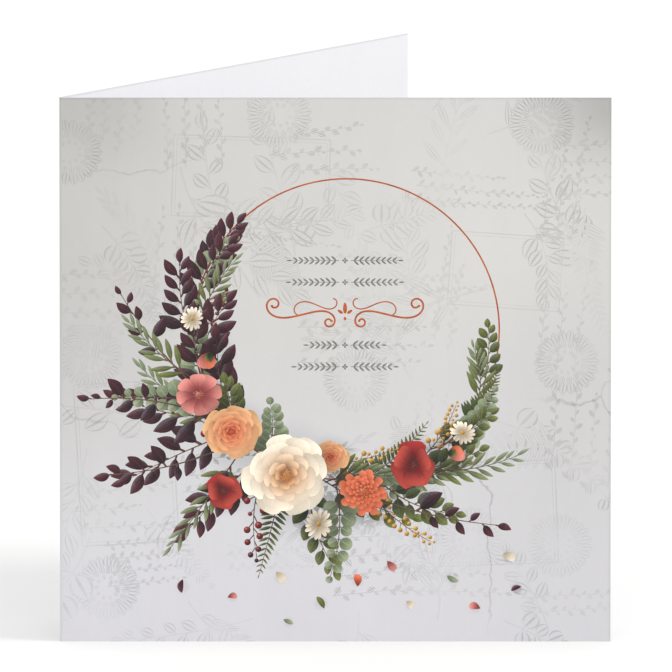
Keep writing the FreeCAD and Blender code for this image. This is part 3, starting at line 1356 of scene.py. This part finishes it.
def buildCard():
    outer, inner = cardSection()
    shell = Shell()
    used = spots[np.unique(cuts)]

    # The front face, from the cut drawing
    def onFront(x, z):
        return ((low.x + x * millimetre, low.y, z * millimetre), x / panelWidth, z / panelHeight)

    for cut, owner in zip(cuts, owners):
        ink = shapes[owner - 1]["ink"] if owner else "ground"
        shell.add([onFront(*spots[corner]) for corner in cut], ink, "print", owner)

    def border(axis, value):
        return sorted(float(spot[1 - axis]) for spot in used if abs(spot[axis] - value) < 2 * tolerance)

    # Round the outside of the fold, printed until it faces away from the front, and along the back
    steps = card["foldSteps"]
    joined = [z * millimetre for z in border(0, foldWidth)]
    for step in range(steps):
        finish = "ground" if step < steps // 2 else "board"
        acrosses = (step / steps, (step + 1) / steps)
        heights = joined if step == 0 else None
        shell.strip(outer[step + 1], outer[step + 2], finish, "fold", acrosses, heights)
    shell.strip(outer[-2], outer[-1], "board", "outsideBack", (1.0, 0.0))

    # Along the inside, with the crease bead among its strips
    creases = len(inner) - 3
    shell.strip(inner[1], inner[0], "board", "insideFront", (0.0, 1.0))
    for step in range(creases):
        acrosses = ((step + 1) / creases, step / creases)
        shell.strip(inner[step + 2], inner[step + 1], "board", "crease", acrosses)
    shell.strip(inner[-1], inner[-2], "board", "insideBack", (1.0, 0.0))

    # The free edges
    joined = [z * millimetre for z in border(0, panelWidth)]
    shell.strip(inner[0], outer[0], "cut", "frontEdge", (1.0, 0.0), leftHeights=joined)
    shell.strip(outer[-1], inner[-1], "cut", "backEdge", (0.0, 1.0))

    # The upper and lower edges: the front panel's part, the fold's and the back panel's
    for page, z, line in (("top", high.z, border(1, panelHeight)), ("bottom", 0.0, border(1, 0.0))):
        front = [(low.x + x * millimetre, low.y) for x in reversed(line)]
        outside = measured(front + outer[2:], 0.0)
        inside = measured(inner, 1.0)
        foldAt = len(front) - 1
        for part in (
            outside[:foldAt + 1] + inside[1::-1],
            outside[foldAt:-1] + inside[-2:0:-1],
            outside[-2:] + inside[:-3:-1],
        ):
            corners = [((*place, z), across, up) for place, across, up in part]
            shell.add(corners[::-1] if page == "top" else corners, "cut", page)
    return shell


def softShadow(places, order):
    level = np.ones(len(places))
    for shadow in shadows:
        distance = np.linalg.norm(places - shadow["centre"], axis=1)
        inside, outside = shadow["radii"]
        share = np.clip((outside - distance) / (outside - inside), 0, 1)
        fall = share * share * (3 - 2 * share) * shadow["strength"]
        taken = np.where(order == 0, shadowShape["onGround"], 1.0)
        level *= np.where(order <= shadow["after"], 1 - fall * taken, 1.0)
    return level


def dressMesh(shell):
    mesh = bpy.data.meshes.new("printedCard")
    mesh.from_pydata(shell.vertices, [], shell.faces)
    finishes = {"board": board, "cut": cut, **inks}
    names = list(finishes)
    for name in names:
        mesh.materials.append(finishes[name])
    slots = [names.index(name) for name in shell.finishes]
    mesh.polygons.foreach_set("material_index", slots)

    order = np.array(shell.owners)
    blank = {
        "base": np.zeros(3), "tip": np.zeros(3), "form": (0, 0, 0), "light": (0, 0, 0), "tone": 0.0,
        "toLocal": np.zeros((3, 2)),
    }
    facts = [blank] + shapes
    looks = [facts[owner] for owner in order]
    for name, key, kind, field in (
        ("inkBase", "base", "FLOAT_COLOR", "color"), ("inkTip", "tip", "FLOAT_COLOR", "color"),
        ("inkForm", "form", "FLOAT_VECTOR", "vector"), ("inkLight", "light", "FLOAT_VECTOR", "vector"),
        ("tone", "tone", "FLOAT", "value"),
    ):
        made = mesh.attributes.new(name, kind, "FACE")
        values = np.array([look[key] for look in looks], float)
        if kind == "FLOAT_COLOR":
            values = np.hstack([values, np.ones((len(values), 1))])
        made.data.foreach_set(field, values.ravel())

    counts = np.array([len(corners) for corners in shell.faces])
    places = np.array(shell.vertices)[np.concatenate([np.array(corners) for corners in shell.faces])]
    sheet = (places[:, [0, 2]] - (low.x, 0.0)) / millimetre
    perCorner = np.repeat(order, counts)
    maps = np.array([fact["toLocal"] for fact in facts])[perCorner]
    local = np.einsum("ni,nij->nj", np.hstack([sheet, np.ones((len(sheet), 1))]), maps)
    mesh.uv_layers.new(name="motif").data.foreach_set("uv", local.ravel())
    page = np.array([place for corners in shell.pages for place in corners], float)
    mesh.uv_layers.new(name="OFBake").data.foreach_set("uv", page.ravel())
    onPrint = np.repeat(np.array([name not in ("board", "cut") for name in shell.finishes]), counts)
    shade = np.where(onPrint, softShadow(sheet, perCorner), 1.0)
    mesh.attributes.new("shade", "FLOAT", "CORNER").data.foreach_set("value", shade)

    mesh.polygons.foreach_set("use_smooth", [True] * len(mesh.polygons))
    mesh.set_sharp_from_angle(angle=math.radians(30))
    mesh.update()
    return mesh


printedCard = bpy.data.objects.new("printedCard", dressMesh(buildCard()))
bpy.context.scene.collection.objects.link(printedCard)
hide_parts("folded_card")
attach(printedCard, "root")
print("card made:", len(printedCard.data.polygons), "faces")


# The studio

studio = {
    "floorSize": 40.0,
    "floorTone": (0.628, 0.62, 0.606),
    "floorGlow": (0.32, 0.324, 0.333),
    "contactReach": 0.026,
    "contactShade": 0.45,
    "skyLevel": 0.8,
    "key": {"from": (0.80, -0.14, 0.60), "level": 0.45, "softness": math.radians(28)},
    "fill": {"from": (-0.05, -0.87, 0.50), "level": 0.19, "softness": math.radians(60)},
}


def addSun(name, settings):
    lamp = bpy.data.lights.new(name, "SUN")
    lamp.energy = math.pi * settings["level"]
    lamp.angle = settings["softness"]
    sun = bpy.data.objects.new(name, lamp)
    sun.rotation_euler = Vector(settings["from"]).to_track_quat("Z", "Y").to_euler()
    bpy.context.scene.collection.objects.link(sun)


# One where the camera looks at it, also by way of a mirror or glass
def lookedAt(tree):
    rays = addNode(tree, "ShaderNodeLightPath")
    seen = calculate("MAXIMUM", Wire(rays.outputs["Is Camera Ray"]), Wire(rays.outputs["Is Glossy Ray"]))
    return calculate("MAXIMUM", seen, Wire(rays.outputs["Is Transmission Ray"]))


# A glow that only the camera and reflections see makes the floor white, and shadows still show on it.
def addFloor():
    half = studio["floorSize"] / 2
    mesh = bpy.data.meshes.new("floor")
    corners = ((-half, -half, 0), (half, -half, 0), (half, half, 0), (-half, half, 0))
    mesh.from_pydata(corners, [], [(0, 1, 2, 3)])
    floor = bpy.data.objects.new("floor", mesh)
    bpy.context.scene.collection.objects.link(floor)
    material = bpy.data.materials.new("floorPaper")
    material.use_nodes = True
    tree = material.node_tree
    tree.nodes.clear()
    matt = addNode(tree, "ShaderNodeBsdfDiffuse", {"Color": fixed(studio["floorTone"])})
    # The glow fades where something stands close by, so the card's foot is seated in a soft shade
    nearby = addNode(tree, "ShaderNodeAmbientOcclusion", {"Distance": studio["contactReach"]})
    clear = 1.0 - (1.0 - Wire(nearby.outputs["AO"])) * studio["contactShade"]
    strength = lookedAt(tree) * clear
    glow = addNode(tree, "ShaderNodeEmission", {"Color": fixed(studio["floorGlow"]), "Strength": strength})
    both = addNode(tree, "ShaderNodeAddShader", {0: Wire(matt.outputs[0]), 1: Wire(glow.outputs[0])})
    addNode(tree, "ShaderNodeOutputMaterial", {"Surface": Wire(both.outputs[0])})
    mesh.materials.append(material)


def addSky():
    world = bpy.data.worlds.new("studioSky")
    world.use_nodes = True
    tree = world.node_tree
    tree.nodes.clear()
    level = studio["skyLevel"] + lookedAt(tree) * (1.0 - studio["skyLevel"])
    light = addNode(tree, "ShaderNodeBackground", {"Color": (1, 1, 1, 1), "Strength": level})
    addNode(tree, "ShaderNodeOutputWorld", {"Surface": Wire(light.outputs[0])})
    bpy.context.scene.world = world


# A long lens from far off, a little above the card: found from the photograph's corners of the card
view = {
    "distance": 6.0,
    "elevation": math.radians(9.38),
    "aim": (0.00018, low.y, 0.08328),
    "frameWidth": 0.18038,
    "sensor": 36.0,
}


def addCamera():
    lens = bpy.data.cameras.new("camera")
    lens.sensor_width = view["sensor"]
    lens.lens = view["sensor"] * view["distance"] / view["frameWidth"]
    lens.clip_start, lens.clip_end = 0.01, 100.0
    camera = bpy.data.objects.new("camera", lens)
    back = Vector((0.0, -math.cos(view["elevation"]), math.sin(view["elevation"])))
    camera.location = Vector(view["aim"]) + back * view["distance"]
    camera.rotation_euler = back.to_track_quat("Z", "Y").to_euler()
    bpy.context.scene.collection.objects.link(camera)
    bpy.context.scene.camera = camera


addFloor()
addSky()
addSun("keyLight", studio["key"])
addSun("fillLight", studio["fill"])
addCamera()
bpy.context.scene.view_settings.view_transform = "Standard"
print("studio made")
